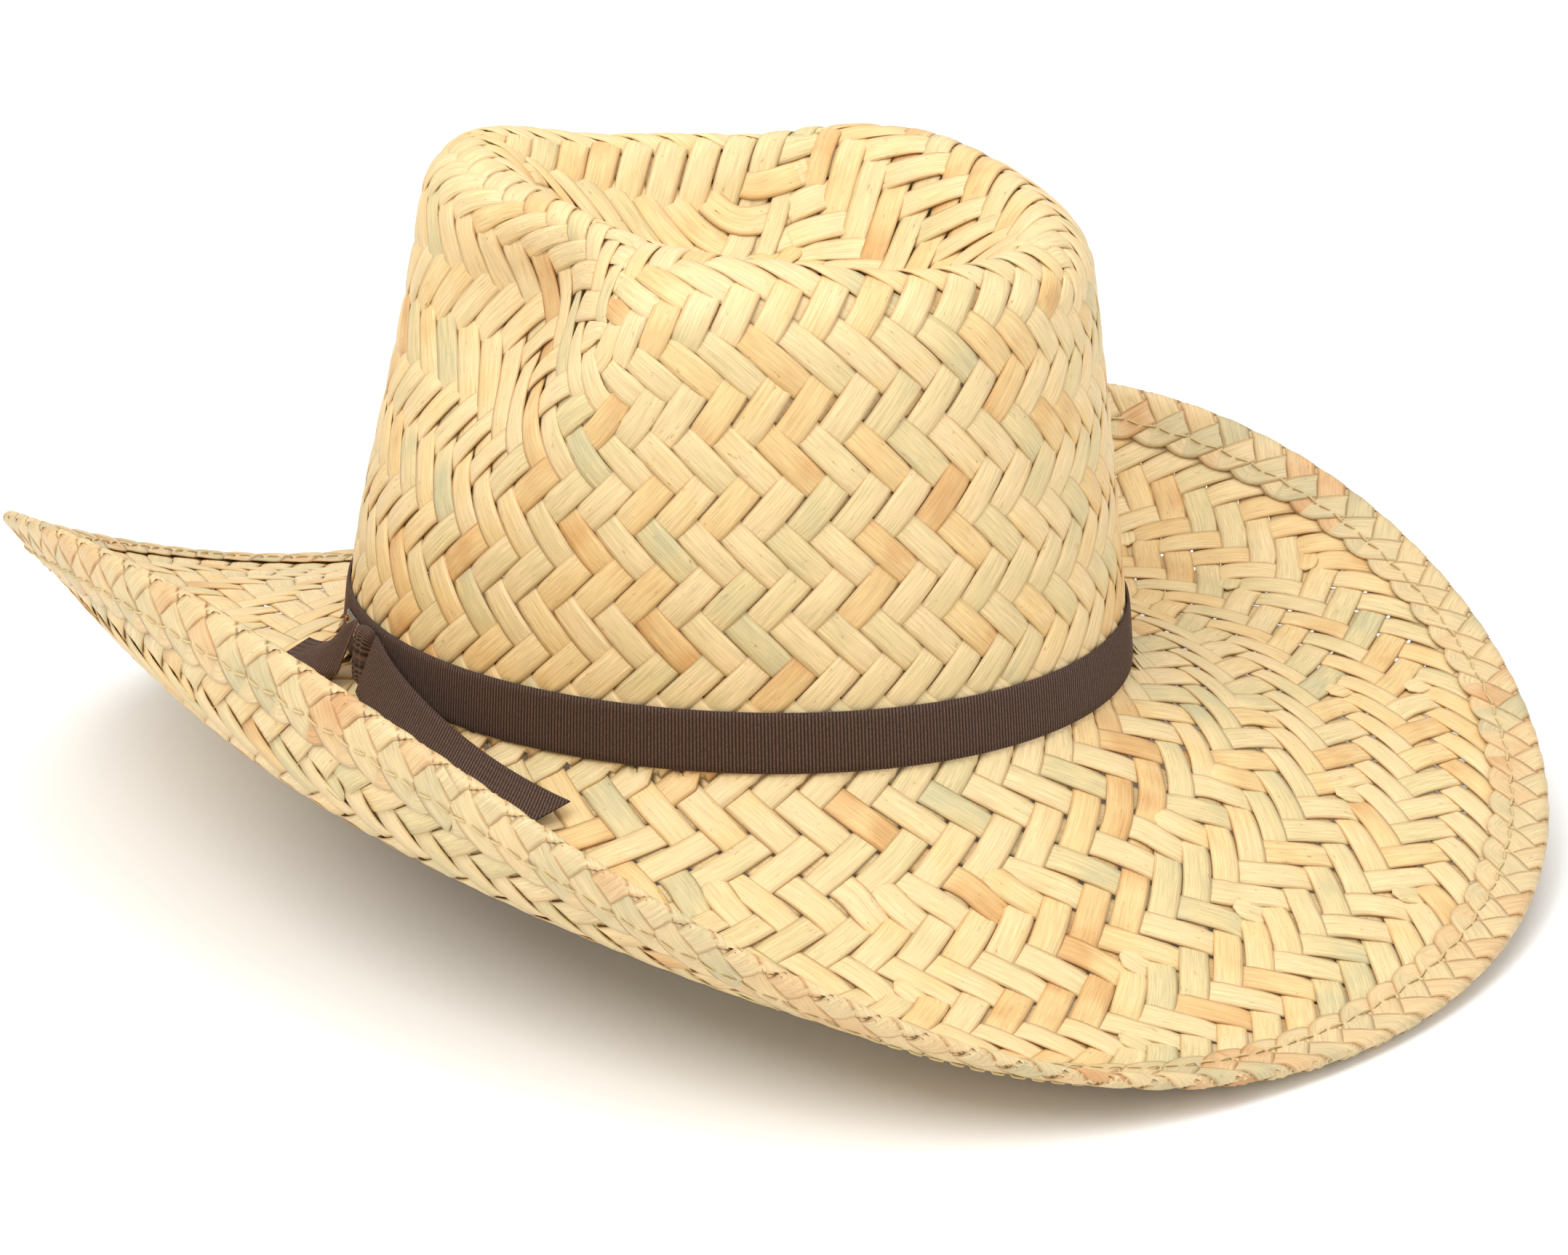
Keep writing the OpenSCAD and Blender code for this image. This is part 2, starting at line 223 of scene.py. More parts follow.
def crown_reach(a):
    """Distance from the middle of the top to the brim."""
    return top_reach(a) + RIM_ARC + WALL_L


def straw_surface(p, skin=-STRAW_T / 2):
    """Point of the straw at plan vector p: over the top, round the rim, down the wall, out on the brim."""
    a = np.arctan2(p[..., 1], p[..., 0])
    top = top_reach(a)
    past = np.hypot(p[..., 0], p[..., 1]) - top
    k = np.clip(-past / top, 0, 1)
    turn = np.clip(math.pi / 2 - past / RIM_R, 0, math.pi / 2)
    w = np.clip(WALL_L + RIM_ARC - past, 0, WALL_L)
    s = past - RIM_ARC - WALL_L
    return np.where((s > 0)[..., None], brim_point(a, s, skin), crown_point(a, w, turn, k, skin))


# ---- meshes ----


def turn_outwards(mesh):
    """Every closed form in the mesh gets faces that point away from its inside."""
    forms = bmesh.new()
    forms.from_mesh(mesh)
    bmesh.ops.recalc_face_normals(forms, faces=forms.faces)
    forms.to_mesh(mesh)
    forms.free()


def add_mesh(name, points, quads, uv=None, tone=None, ends=()):
    """Object with its place in its mesh: points in mm, quads and end faces as rows of point numbers."""
    mesh = bpy.data.meshes.new(name)
    sizes = np.concatenate([np.full(len(quads), 4)] + [np.full(len(e), e.shape[1]) for e in ends]).astype(int)
    corners = np.concatenate([quads.ravel()] + [e.ravel() for e in ends]).astype(np.int32)
    mesh.vertices.add(len(points))
    mesh.vertices.foreach_set("co", (points * 0.001).astype(np.float32).ravel())
    mesh.loops.add(len(corners))
    mesh.loops.foreach_set("vertex_index", corners)
    mesh.polygons.add(len(sizes))
    mesh.polygons.foreach_set("loop_start", np.concatenate([[0], np.cumsum(sizes)[:-1]]).astype(np.int32))
    if uv is not None:
        layer = mesh.uv_layers.new(name="strip_mm")
        layer.data.foreach_set("uv", uv[corners].astype(np.float32).ravel())
    if tone is not None:
        layer = mesh.attributes.new("tone", "FLOAT", "POINT")
        layer.data.foreach_set("value", tone.astype(np.float32))
    mesh.update()
    mesh.validate()
    turn_outwards(mesh)
    mesh.shade_smooth()
    piece = bpy.data.objects.new(name, mesh)
    bpy.context.scene.collection.objects.link(piece)
    return piece


def ring_faces(rows, around, shut_rows=False):
    """Quads between neighbouring rows of a grid whose columns close on themselves."""
    i = np.arange(rows if shut_rows else rows - 1)[:, None]
    j = np.arange(around)[None]
    n, m = (i + 1) % rows, (j + 1) % around
    quads = np.stack([i * around + j, i * around + m, n * around + m, n * around + j], -1)
    return quads.reshape(-1, 4)


def ring_ends(rows, around):
    """The first and the last row of such a grid, as the faces that shut its two ends."""
    k = np.arange(around)
    return k[None], ((rows - 1) * around + k)[None]


def dress(piece, body, material, slot_name, *nodes):
    """Material, body, material slot and the CAD nodes that the piece stands for; slot_name is not used."""
    piece.data.materials.append(material)
    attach(piece, body)
    if nodes:
        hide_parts(*nodes)
    return piece


# ---- materials ----


def colour(code):
    """Linear RGBA of an sRGB hex value."""
    rgb = np.array([int(code[i : i + 2], 16) for i in (1, 3, 5)]) / 255
    linear = np.where(rgb <= 0.04045, rgb / 12.92, ((rgb + 0.055) / 1.055) ** 2.4)
    return (*linear.tolist(), 1.0)


def node(tree, kind, settings=None, links=None):
    """One node with its properties, its socket values by name or number, and its links."""
    made = tree.nodes.new(kind)
    for key, value in (settings or {}).items():
        if isinstance(key, str) and hasattr(made, key):
            setattr(made, key, value)
        else:
            made.inputs[key].default_value = value
    for key, source in (links or {}).items():
        tree.links.new(source, made.inputs[key])
    return made


def new_material(name):
    """Empty material with its node tree, its shader and its output."""
    material = bpy.data.materials.new(name)
    material.use_nodes = True
    tree = material.node_tree
    tree.nodes.clear()
    shader = tree.nodes.new("ShaderNodeBsdfPrincipled")
    output = tree.nodes.new("ShaderNodeOutputMaterial")
    tree.links.new(shader.outputs["BSDF"], output.inputs["Surface"])
    return material, tree, shader


def set_ramp(ramp, stops):
    """Colour ramp stops as (place, hex or grey) pairs."""
    elements = ramp.color_ramp.elements
    for _ in range(len(stops) - 2):
        elements.new(0.5)
    for element, (place, value) in zip(elements, stops):
        element.position = place
        element.color = colour(value) if isinstance(value, str) else (value, value, value, 1.0)


def straw_material(name, stops, grain=0.32, gloss=0.44):
    """Split palm leaf, sun bleached and woven: long fibres about a third of a millimetre apart, each strip
    its own tone, small rust and dark flecks, edges darkened by painted shade where neighbouring strips meet,
    a soft waxy gloss along the fibres."""
    material, tree, shader = new_material(name)
    place = node(tree, "ShaderNodeUVMap", {"uv_map": "strip_mm"})
    axes = node(tree, "ShaderNodeSeparateXYZ", links={0: place.outputs[0]})
    tone = node(tree, "ShaderNodeAttribute", {"attribute_name": "tone"})
    seed = node(tree, "ShaderNodeMath", {"operation": "MULTIPLY", 1: 173.0}, {0: tone.outputs["Fac"]})
    across = node(tree, "ShaderNodeMath", {"operation": "DIVIDE", 1: grain}, {0: axes.outputs[0]})
    along = node(tree, "ShaderNodeMath", {"operation": "DIVIDE", 1: 9.0}, {0: axes.outputs[1]})
    fibre_at = node(
        tree, "ShaderNodeCombineXYZ", links={0: across.outputs[0], 1: along.outputs[0], 2: seed.outputs[0]}
    )
    fibre = node(
        tree, "ShaderNodeTexNoise", {"Scale": 1.0, "Detail": 3.0, "Roughness": 0.6}, {0: fibre_at.outputs[0]}
    )
    fleck_at = node(
        tree, "ShaderNodeCombineXYZ", links={0: axes.outputs[0], 1: axes.outputs[1], 2: seed.outputs[0]}
    )
    stretch = node(
        tree, "ShaderNodeMapping", {"Scale": (0.9, 0.3, 1.0)}, {"Vector": fleck_at.outputs[0]}
    )
    fleck = node(
        tree, "ShaderNodeTexNoise", {"Scale": 1.0, "Detail": 4.0, "Roughness": 0.7}, {0: stretch.outputs[0]}
    )
    patch = node(
        tree, "ShaderNodeTexNoise", {"Scale": 0.06, "Detail": 2.0}, {0: fleck_at.outputs[0]}
    )
    ramp = node(tree, "ShaderNodeValToRGB")
    set_ramp(ramp, stops)
    shift = node(
        tree,
        "ShaderNodeMapRange",
        {"From Min": 0.3, "From Max": 0.7, "To Min": -0.2, "To Max": 0.2},
        {"Value": patch.outputs["Fac"]},
    )
    where = node(
        tree, "ShaderNodeMath", {"operation": "ADD"}, {0: tone.outputs["Fac"], 1: shift.outputs[0]}
    )
    tree.links.new(where.outputs[0], ramp.inputs["Fac"])
    lines = node(
        tree,
        "ShaderNodeMapRange",
        {"From Min": 0.3, "From Max": 0.7, "To Min": 0.76, "To Max": 1.12},
        {"Value": fibre.outputs["Fac"]},
    )
    lined = node(
        tree,
        "ShaderNodeMix",
        {"data_type": "RGBA", "blend_type": "MULTIPLY", 0: 1.0},
        {6: ramp.outputs["Color"], 7: lines.outputs[0]},
    )
    rust_mask = node(
        tree,
        "ShaderNodeMapRange",
        {"From Min": 0.63, "From Max": 0.74, "To Min": 0.0, "To Max": 0.75},
        {"Value": fleck.outputs["Fac"]},
    )
    rusty = node(
        tree,
        "ShaderNodeMix",
        {"data_type": "RGBA", "blend_type": "MULTIPLY", 7: colour("#b98a58")},
        {0: rust_mask.outputs[0], 6: lined.outputs[2]},
    )
    # painted shade: each strip's edges are darkened towards #c79a62, standing in for the shadow in the gaps
    # between neighbouring strips
    side = node(tree, "ShaderNodeMath", {"operation": "ABSOLUTE"}, {0: axes.outputs[0]})
    gap_shade_mask = node(
        tree,
        "ShaderNodeMapRange",
        {"From Min": 3.1, "From Max": 3.8, "To Min": 0.0, "To Max": 0.5},
        {"Value": side.outputs[0]},
    )
    gap_shaded = node(
        tree,
        "ShaderNodeMix",
        {"data_type": "RGBA", "blend_type": "MULTIPLY", 7: colour("#c79a62")},
        {0: gap_shade_mask.outputs[0], 6: rusty.outputs[2]},
    )
    tree.links.new(gap_shaded.outputs[2], shader.inputs["Base Color"])
    dull = node(
        tree,
        "ShaderNodeMapRange",
        {"From Min": 0.3, "From Max": 0.7, "To Min": gloss - 0.08, "To Max": gloss + 0.14},
        {"Value": fibre.outputs["Fac"]},
    )
    tree.links.new(dull.outputs[0], shader.inputs["Roughness"])
    raised = node(
        tree,
        "ShaderNodeBump",
        {"Strength": 0.55, "Distance": 0.00012},
        {"Height": fibre.outputs["Fac"]},
    )
    tree.links.new(raised.outputs[0], shader.inputs["Normal"])
    shader.inputs["IOR"].default_value = 1.48
    shader.inputs["Specular IOR Level"].default_value = 0.42
    return material


def ribbon_material(name, dark, light, pitch):
    """Polyester grosgrain, woven: cross ribs of the given pitch in mm with fine warp threads over them, a
    soft sheen on the ribs and slightly paler crests, a painted highlight broken into patches by noise."""
    material, tree, shader = new_material(name)
    place = node(tree, "ShaderNodeUVMap", {"uv_map": "strip_mm"})
    axes = node(tree, "ShaderNodeSeparateXYZ", links={0: place.outputs[0]})
    turn = node(
        tree, "ShaderNodeMath", {"operation": "MULTIPLY", 1: 2 * math.pi / pitch}, {0: axes.outputs[1]}
    )
    rib = node(tree, "ShaderNodeMath", {"operation": "COSINE"}, {0: turn.outputs[0]})
    thread_turn = node(
        tree, "ShaderNodeMath", {"operation": "MULTIPLY", 1: 2 * math.pi / WARP}, {0: axes.outputs[0]}
    )
    thread = node(tree, "ShaderNodeMath", {"operation": "COSINE"}, {0: thread_turn.outputs[0]})
    fuzz = node(
        tree,
        "ShaderNodeTexNoise",
        {"Scale": 1.6, "Detail": 3.0},
        {0: place.outputs[0]},
    )
    # painted highlight: the rib crests are painted towards the pale colour, in patches set by the noise
    crest = node(
        tree,
        "ShaderNodeMapRange",
        {"From Min": -1.0, "From Max": 1.0, "To Min": 0.0, "To Max": 1.2},
        {"Value": rib.outputs[0]},
    )
    wear_and_highlight = node(
        tree, "ShaderNodeMath", {"operation": "MULTIPLY"}, {0: crest.outputs[0], 1: fuzz.outputs["Fac"]}
    )
    tint = node(
        tree,
        "ShaderNodeMix",
        {"data_type": "RGBA", 6: colour(dark), 7: colour(light)},
        {0: wear_and_highlight.outputs[0]},
    )
    tree.links.new(tint.outputs[2], shader.inputs["Base Color"])
    fine = node(
        tree,
        "ShaderNodeMath",
        {"operation": "MULTIPLY_ADD", 1: 0.25},
        {0: thread.outputs[0], 2: rib.outputs[0]},
    )
    raised = node(
        tree, "ShaderNodeBump", {"Strength": 0.5, "Distance": 0.00008}, {"Height": fine.outputs[0]}
    )
    tree.links.new(raised.outputs[0], shader.inputs["Normal"])
    shader.inputs["Roughness"].default_value = 0.75
    shader.inputs["Specular IOR Level"].default_value = 0.3
    shader.inputs["Sheen Weight"].default_value = 0.08
    shader.inputs["Sheen Roughness"].default_value = 0.4
    return material


def cloth_material(name, dark, light, thread=0.5):
    """Woven cotton cloth: two crossing sets of threads at the given pitch in mm, matt, with a light nap."""
    material, tree, shader = new_material(name)
    place = node(tree, "ShaderNodeUVMap", {"uv_map": "strip_mm"})
    axes = node(tree, "ShaderNodeSeparateXYZ", links={0: place.outputs[0]})
    waves = []
    for axis in (0, 1):
        turn = node(
            tree,
            "ShaderNodeMath",
            {"operation": "MULTIPLY", 1: 2 * math.pi / thread},
            {0: axes.outputs[axis]},
        )
        waves.append(node(tree, "ShaderNodeMath", {"operation": "COSINE"}, {0: turn.outputs[0]}))
    weave = node(
        tree, "ShaderNodeMath", {"operation": "MULTIPLY"}, {0: waves[0].outputs[0], 1: waves[1].outputs[0]}
    )
    nap = node(tree, "ShaderNodeTexNoise", {"Scale": 0.7, "Detail": 4.0}, {0: place.outputs[0]})
    tint = node(
        tree,
        "ShaderNodeMix",
        {"data_type": "RGBA", 6: colour(dark), 7: colour(light)},
        {0: nap.outputs["Fac"]},
    )
    tree.links.new(tint.outputs[2], shader.inputs["Base Color"])
    raised = node(
        tree, "ShaderNodeBump", {"Strength": 0.5, "Distance": 0.0001}, {"Height": weave.outputs[0]}
    )
    tree.links.new(raised.outputs[0], shader.inputs["Normal"])
    shader.inputs["Roughness"].default_value = 0.85
    shader.inputs["Sheen Weight"].default_value = 0.15
    return material


def metal_material(name, clean, wear_and_highlight, rough, scratch=0.4):
    """Plated die-cast metal: fine wear in blotches half a millimetre across that dulls and lightens it."""
    material, tree, shader = new_material(name)
    place = node(tree, "ShaderNodeTexCoord")
    wear = node(
        tree,
        "ShaderNodeTexNoise",
        {"Scale": 1000 * scratch, "Detail": 5.0, "Roughness": 0.65},
        {0: place.outputs["Object"]},
    )
    spots = node(
        tree,
        "ShaderNodeMapRange",
        {"From Min": 0.45, "From Max": 0.7, "To Min": 0.0, "To Max": 1.0},
        {"Value": wear.outputs["Fac"]},
    )
    tint = node(
        tree,
        "ShaderNodeMix",
        {"data_type": "RGBA", 6: colour(clean), 7: colour(wear_and_highlight)},
        {0: spots.outputs[0]},
    )
    tree.links.new(tint.outputs[2], shader.inputs["Base Color"])
    dull = node(
        tree,
        "ShaderNodeMapRange",
        {"From Min": 0.3, "From Max": 0.7, "To Min": rough - 0.08, "To Max": rough + 0.14},
        {"Value": wear.outputs["Fac"]},
    )
    tree.links.new(dull.outputs[0], shader.inputs["Roughness"])
    raised = node(
        tree, "ShaderNodeBump", {"Strength": 0.25, "Distance": 0.00004}, {"Height": wear.outputs["Fac"]}
    )
    tree.links.new(raised.outputs[0], shader.inputs["Normal"])
    shader.inputs["Metallic"].default_value = 1.0
    return material


STRAW_STOPS = (
    (0.0, "#cabd90"),
    (0.2, "#dac48f"),
    (0.45, "#e6cb99"),
    (0.68, "#e6c68c"),
    (0.86, "#e0bb80"),
    (1.0, "#d5a76c"),
)
palm_straw = straw_material("split_palm_leaf", STRAW_STOPS)
edge_straw = straw_material(
    "split_palm_leaf_edge",
    ((0.0, "#c2b389"), (0.3, "#d6bf90"), (0.6, "#dcc08f"), (0.85, "#d6b180"), (1.0, "#c99a66")),
)
straw_thread = cloth_material("waxed_cotton_thread", "#c9ae78", "#e0c88f", 0.25)
# the second, pale colour given to ribbon_material is the painted highlight on the rib crests
grosgrain = ribbon_material("grosgrain_dark_brown", "#20150f", "#7a5a48", RIB)
band_cloth = ribbon_material("sweatband_ribbed_cloth", "#231a16", "#4a3c33", 1.0)
tape_cloth = cloth_material("cotton_tape_dark", "#241a16", "#41332b", 0.4)
label_cloth = cloth_material("woven_label_cotton", "#d9d2c4", "#f0ebe0", 0.35)
gunmetal = metal_material("gunmetal_plated_zinc", "#77726d", "#a39c94", 0.33)
copper = metal_material("copper_plated_rivet", "#9a5f3c", "#c98a5f", 0.32)
wire_steel = metal_material("spring_steel_wire", "#7f8184", "#a9abad", 0.3)


# ---- strips of straw woven on a surface ----


def curve_through(points, sub):
    """Catmull-Rom curve through rows of points (rows, places, 2): sub steps between neighbouring places.
    The places at both ends only steer it."""
    p0, p1, p2, p3 = points[:, :-3], points[:, 1:-2], points[:, 2:-1], points[:, 3:]
    t = (np.arange(sub) / sub)[None, None, :, None]
    p0, p1, p2, p3 = (p[:, :, None] for p in (p0, p1, p2, p3))
    bend = 2 * p1 + (p2 - p0) * t + (2 * p0 - 5 * p1 + 4 * p2 - p3) * t**2
    curve = 0.5 * (bend + (3 * p1 - p0 - 3 * p2 + p3) * t**3)
    curve = curve.reshape(len(points), -1, points.shape[-1])
    return np.concatenate([curve, points[:, -2:-1]], 1)


ACROSS = np.array([-1.0, -0.6, 0.0, 0.6, 1.0, 1.0, 0.0, -1.0])
ON_TOP = np.array([1, 1, 1, 1, 1, 0, 0, 0])


def tangents(surface, places):
    """Points of a surface at plan places, with its slopes per mm along the two plan directions."""
    here = surface(places)
    east = (surface(places + [TANGENT_STEP, 0]) - here) / TANGENT_STEP
    north = (surface(places + [0, TANGENT_STEP]) - here) / TANGENT_STEP
    return here, east, north


def weave(name, surface, centre, width, height, used, tone, thick=0.34, camber=0.24):
    """Closed strips along rows of places (strips, stations, 2) on a surface. Each station is a section of
    eight points across the strip: the places to its side come from the surface's own two tangents, the
    height from over and under plus a camber that falls with the fourth power of the place across."""
    here, east, north = tangents(surface, centre)
    normal = unit(np.cross(east, north))
    side = np.cross(normal, unit(np.gradient(here, axis=1)))
    ee, en, nn = (east * east).sum(-1), (east * north).sum(-1), (north * north).sum(-1)
    se, sn = (side * east).sum(-1), (side * north).sum(-1)
    det = ee * nn - en * en + 1e-9
    shift = np.stack([(nn * se - en * sn) / det, (ee * sn - en * se) / det], -1)
    half = width / 2
    places = centre[:, :, None] + shift[:, :, None] * (half[..., None] * ACROSS)[..., None]
    rise = height[..., None] + np.where(ON_TOP, thick / 2, -thick / 2) - camber * ACROSS**4
    points = surface(places) + normal[:, :, None] * rise[..., None]
    uv = np.stack(np.broadcast_arrays(ACROSS * half[..., None], run_length(here)[..., None]), -1)
    number = np.full(used.shape, -1)
    number[used] = np.arange(used.sum())
    a = number[:, :-1][used[:, :-1] & used[:, 1:]]
    k = np.arange(8)
    n = (k + 1) % 8
    quads = np.stack(np.broadcast_arrays(
        a[:, None] * 8 + k, (a[:, None] + 1) * 8 + k, (a[:, None] + 1) * 8 + n, a[:, None] * 8 + n), -1)
    before = np.concatenate([np.zeros((len(used), 1), bool), used[:, :-1]], 1)
    after = np.concatenate([used[:, 1:], np.zeros((len(used), 1), bool)], 1)
    first = number[used & ~before][:, None] * 8 + k
    last = number[used & ~after][:, None] * 8 + k
    shade = np.broadcast_to(tone[..., None], points.shape[:3])
    return add_mesh(
        name, points[used].reshape(-1, 3), quads.reshape(-1, 4), uv[used].reshape(-1, 2),
        shade[used].ravel(), ends=(first, last),
    )


TIP_PITCH = 7.3
TIP_RINGS = 14
LATTICE = 13.5  # rings of the square lattice on the top
BASE_RING = 34.5
LAST_RING = 53
WALL_STEP = 5.4
BRIM_STEPS = LAST_RING - BASE_RING


def ring_reach(number, a, diamond):
    """Distance from the middle of the top to ring number at angle a. On the top the rings are the
    diamonds of a square lattice; they ease into level rings down the wall and share out the brim."""
    level = crown_reach(a) - WALL_STEP * (BASE_RING - LATTICE)
    inner = np.minimum(number, LATTICE) / LATTICE
    top = level * inner + WALL_STEP * np.clip(number - LATTICE, 0, BASE_RING - LATTICE)
    corner = (diamond - level) * (1 - ease((number - 3) / 22)) * inner
    brim = (brim_width(a) - 4) * np.maximum(number - BASE_RING, 0) / BRIM_STEPS
    return top + corner + brim


def diamond_reach(a):
    """Distance at angle a to the diamond |x| + |y| = LATTICE pitches of the square lattice on the top."""
    share = LATTICE * TIP_PITCH / (TOP_W * np.abs(np.cos(a)) + TOP_L * np.abs(np.sin(a)))
    return top_reach(a) * share


def plait_rings(rng):
    """Rings of crossings from the middle of the top to the edge. Each crossing of the next ring lies
    between two neighbours of this one. New pairs of strips start at folds: four in each ring of the top,
    which makes it a square lattice, and some in three rings of the brim, where the ring grows longer."""
    angles, numbers, folds = [], [], []
    for ring in range(TIP_RINGS):
        j = np.arange(ring) + 0.5
        quarter = np.arctan2(j / TOP_L, (ring - j) / TOP_W) if ring else np.zeros(0)
        other = np.pi - quarter[::-1]
        one = np.concatenate([[0], quarter, [np.pi / 2], other])
        angles.append(np.concatenate([one, one + np.pi]))
        fold = np.zeros(4 * (ring + 1), bool)
        fold[:: ring + 1] = True
        folds.append(fold)
        numbers.append(np.where(fold, ring + 0.5, float(ring)))
    starts = {40: 20, 45: 18, 49: 12}
    for ring in range(TIP_RINGS, LAST_RING + 2):
        old = angles[-1]
        n = len(old)
        a = (old + np.append(old[1:], old[0] + 2 * np.pi)) / 2
        fold = np.zeros(n, bool)
        if ring in starts:
            places = (np.arange(starts[ring]) + rng.uniform(0.25, 0.75, starts[ring])) * n / starts[ring]
            places = np.unique(places.astype(int))
            middle = (a[places - 1] + np.where(places == 0, a[places] + 2 * np.pi, a[places])) / 2
            a = np.insert(a, places, middle)
            fold = np.insert(fold, places, True)
        n = len(a)
        even = np.arange(n) * 2 * np.pi / n
        even = even + np.mean(a - even)
        a = mix(a, even, 0.2 if ring < 34 else 0.35)
        angles.append(a)
        folds.append(fold)
        numbers.append(np.full(n, float(ring)))
    return angles, numbers, folds


def plait_strips(angles, numbers, folds, way):
    """Strips of one family as rows of plan vectors, one place for each ring, with the ring that each one
    starts on. A strip goes from each crossing to the next ring's crossing on its way side."""
    rings = len(angles)
    where = []
    for a, number in zip(angles, numbers):
        r = ring_reach(number, a, diamond_reach(a))
        where.append(np.stack([r * np.cos(a), r * np.sin(a)], -1))
    rows = np.full((0, rings), 0)
    begin = np.zeros(0, int)
    for ring in range(rings):
        fold = np.flatnonzero(folds[ring])
        if ring:
            crossings = np.flatnonzero(~folds[ring])
            n = len(angles[ring - 1])
            last = rows[:, ring - 1]
            rows[:, ring] = crossings[last % n] if way > 0 else crossings[(last - 1) % n]
        fresh = np.full((len(fold), rings), 0)
        fresh[:, ring] = fold
        rows = np.concatenate([rows, fresh])
        begin = np.concatenate([begin, np.full(len(fold), ring)])
    plan = np.stack([where[ring][rows[:, ring]] for ring in range(rings)], 1)
    gap = np.stack(
        [
            (np.roll(where[r], -1, 0)[rows[:, r]] - np.roll(where[r], 1, 0)[rows[:, r]]) / 2
            for r in range(rings)
        ],
        1,
    )
    return plan, gap, begin


def straw_hat_plait():
    """The crown and brim: two families of strips, over two and under two, in bands two rings high."""
    rng = np.random.default_rng(7)
    angles, numbers, folds = plait_rings(rng)
    pieces = []
    sub = 4
    for family, way in (("right", 1), ("left", -1)):
        plan, gap, begin = plait_strips(angles, numbers, folds, way)
        strips, rings = plan.shape[:2]
        row = np.arange(strips)
        for back in (1, 2):
            at = begin - back
            ok = at >= 0
            ahead = plan[row, np.minimum(begin + 1, rings - 1)] - plan[row, begin]
            plan[row[ok], at[ok]] = (plan[row, begin] - back * ahead)[ok]
            gap[row[ok], at[ok]] = gap[row, np.minimum(begin + 1, rings - 1)][ok]
        gap[row, begin] = gap[row, np.minimum(begin + 1, rings - 1)]
        first = plan[:, :1] * 2 - plan[:, 1:2]
        padded = np.concatenate([first * 2 - plan[:, :1], first, plan], 1)
        centre = curve_through(padded, sub)
        steps = (np.arange(centre.shape[1]) / sub)[None] - 1
        grown = np.concatenate([gap[:, :1], gap], 1)[:, : (centre.shape[1] - 1) // sub + 1]
        here, east, north = tangents(straw_surface, centre[:, ::sub])
        beside = east * grown[..., :1] + north * grown[..., 1:]
        room = np.linalg.norm(np.cross(beside, unit(np.gradient(here, axis=1))), axis=-1)
        room = np.minimum(room, STRIP_W * rng.uniform(0.94, 1.04, (strips, 1)))
        index = np.clip(steps[0] + 1, 0, room.shape[1] - 1)
        low = np.floor(index).astype(int)
        high = np.minimum(low + 1, room.shape[1] - 1)
        width = mix(room[:, low], room[:, high], index - low)
        begun = begin[:, None]
        tip = np.clip((begun + 0.1 - steps) / 0.62, 0, 1) * (begun >= TIP_RINGS)
        width = width * np.sqrt(np.maximum(1 - tip**2, 0.03))
        used = (steps > begun - 0.56) & (steps <= LAST_RING)
        swing = np.sin(math.pi / 2 * (steps + 0.5)) * 1.35
        height = way * 0.54 * np.tanh(swing * 1.3) / np.tanh(1.3) + 0 * centre[..., 0]
        joined = ease((steps - begun) / 0.9) + (begun >= TIP_RINGS)
        height = mix(way * 0.02, height, np.minimum(joined, 1))
        tone = np.repeat(rng.beta(2.4, 2.6, strips)[:, None], centre.shape[1], 1)
        order = rng.permutation(strips)
        for part in range(2):
            pick = order[part::2]
            pieces.append(
                weave(
                    f"straw_strips_{family}_{part + 1}", straw_surface, centre[pick], width[pick],
                    height[pick], used[pick], tone[pick],
                )
            )
    for piece in pieces:
        dress(piece, "hat", palm_straw, "straw", "straw_crown_lower", "straw_crown_upper", "straw_brim")


# ---- the plaited edge ----


def even_angles(inset, share):
    """Angles that share out a line round the brim, inset mm in from its edge, and its length."""
    return even_shares(lambda a: brim_point(a, brim_width(a) - inset, 0.0), share)


EDGE_LINE = 7.0  # how far in from the edge the braid's length is measured
FOLD_GAP = 0.05  # room between the straw and the braid
FOLD_R = STRAW_T / 2 + FOLD_GAP + BRAID_T / 2
EDGE_RUN = even_angles(EDGE_LINE, 0.0)[1]


def edge_surface(p):
    """Middle of the folded braid: p is the length round the edge and the length across the fold, which is
    a half circle between two faces that follow the brim."""
    a = even_angles(EDGE_LINE, p[..., 0] / EDGE_RUN % 1.0)[0]
    q = p[..., 1]
    turn = np.clip(q / FOLD_R, -math.pi / 2, math.pi / 2)
    past = np.maximum(np.abs(q) - FOLD_R * math.pi / 2, 0)
    s = brim_width(a) + 0.72 - BRAID_T / 2 - FOLD_R + FOLD_R * np.cos(turn) - past
    return brim_point(a, s, -STRAW_T / 2 + FOLD_R * np.sin(turn))


